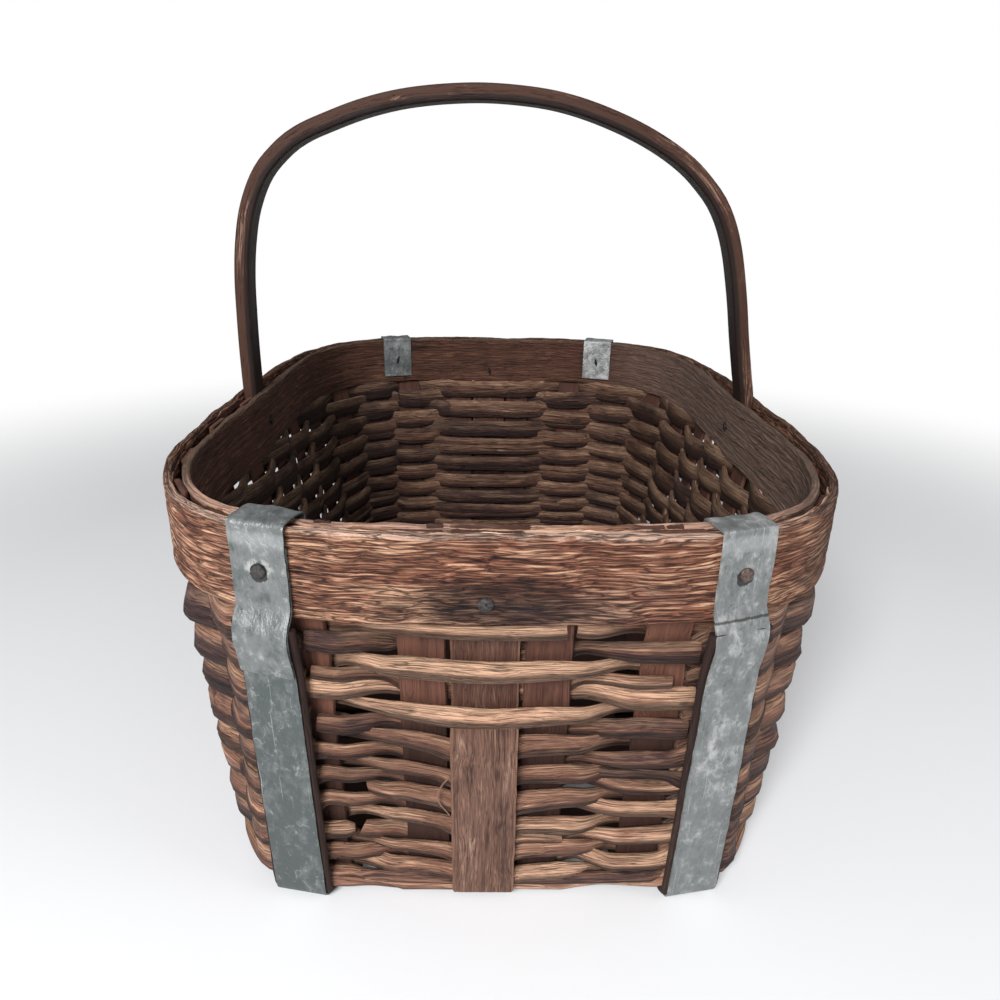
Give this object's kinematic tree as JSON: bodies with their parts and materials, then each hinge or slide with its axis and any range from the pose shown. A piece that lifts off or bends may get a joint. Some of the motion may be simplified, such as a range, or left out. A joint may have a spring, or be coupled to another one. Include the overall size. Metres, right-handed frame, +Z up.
{
  "type": "gathering basket",
  "caption": "Oblong woven willow gathering basket on flat wooden stakes, with bent rim hoops, a fixed bow handle, wooden runners and nailed steel straps.",
  "frame": {"origin": "middle of the footprint, on the surface the basket stands on", "axes": "+Z up, +Y along the basket's long side from its front end to its back end, +X to the right, in the plane of the bow handle"},
  "size_m": [0.3474, 0.4655, 0.3822],
  "materials": {
    "hoop_wood": "weathered, deeply furrowed reddish-brown bent wood",
    "handle_wood": "dark brown shaved bent stick, worn smooth",
    "stake_splint": "dry brown split-wood splint",
    "willow_rod": "dry willow rod, tan to dark brown",
    "runner_splint": "scuffed brown splint",
    "galvanised_steel": "dull blue-grey hot-dip zinc with spangle, dents and stains",
    "nail_iron": "dark rusted iron"
  },
  "bodies": {
    "root": {"bow_handle": "handle_wood", "centre_runner": "runner_splint", "crosswise_stake_1": "stake_splint", "crosswise_stake_2": "stake_splint", "crosswise_stake_3": "stake_splint", "crosswise_stake_4": "stake_splint", "crosswise_stake_5": "stake_splint", "crosswise_stake_6": "stake_splint", "crosswise_stake_7": "stake_splint", "crosswise_stake_8": "stake_splint", "foot_rod": "willow_rod", "handle_nail_left": "nail_iron", "handle_nail_right": "nail_iron", "inner_hoop": "hoop_wood", "left_runner": "runner_splint", "left_strap": "galvanised_steel", "left_strap_hook": "galvanised_steel", "lengthwise_stake_1": "stake_splint", "lengthwise_stake_2": "stake_splint", "lengthwise_stake_3": "stake_splint", "lengthwise_stake_4": "stake_splint", "lengthwise_stake_5": "stake_splint", "lengthwise_stake_6": "stake_splint", "outer_hoop": "hoop_wood", "right_runner": "runner_splint", "right_strap": "galvanised_steel", "rim_nail_back": "nail_iron", "rim_nail_front": "nail_iron", "strap_nail_back_left": "nail_iron", "strap_nail_back_right": "nail_iron", "strap_nail_front_left": "nail_iron", "strap_nail_front_right": "nail_iron", "weaver_row_01": "willow_rod", "weaver_row_02": "willow_rod", "weaver_row_03": "willow_rod", "weaver_row_04": "willow_rod", "weaver_row_05": "willow_rod", "weaver_row_06": "willow_rod", "weaver_row_07": "willow_rod", "weaver_row_08": "willow_rod", "weaver_row_09": "willow_rod", "weaver_row_10": "willow_rod", "weaver_row_11": "willow_rod", "weaver_row_12": "willow_rod", "weaver_row_13": "willow_rod", "weaver_row_14": "willow_rod", "weaver_row_15": "willow_rod", "weaver_row_16": "willow_rod", "weaver_row_17": "willow_rod"}
  },
  "joints": []
}
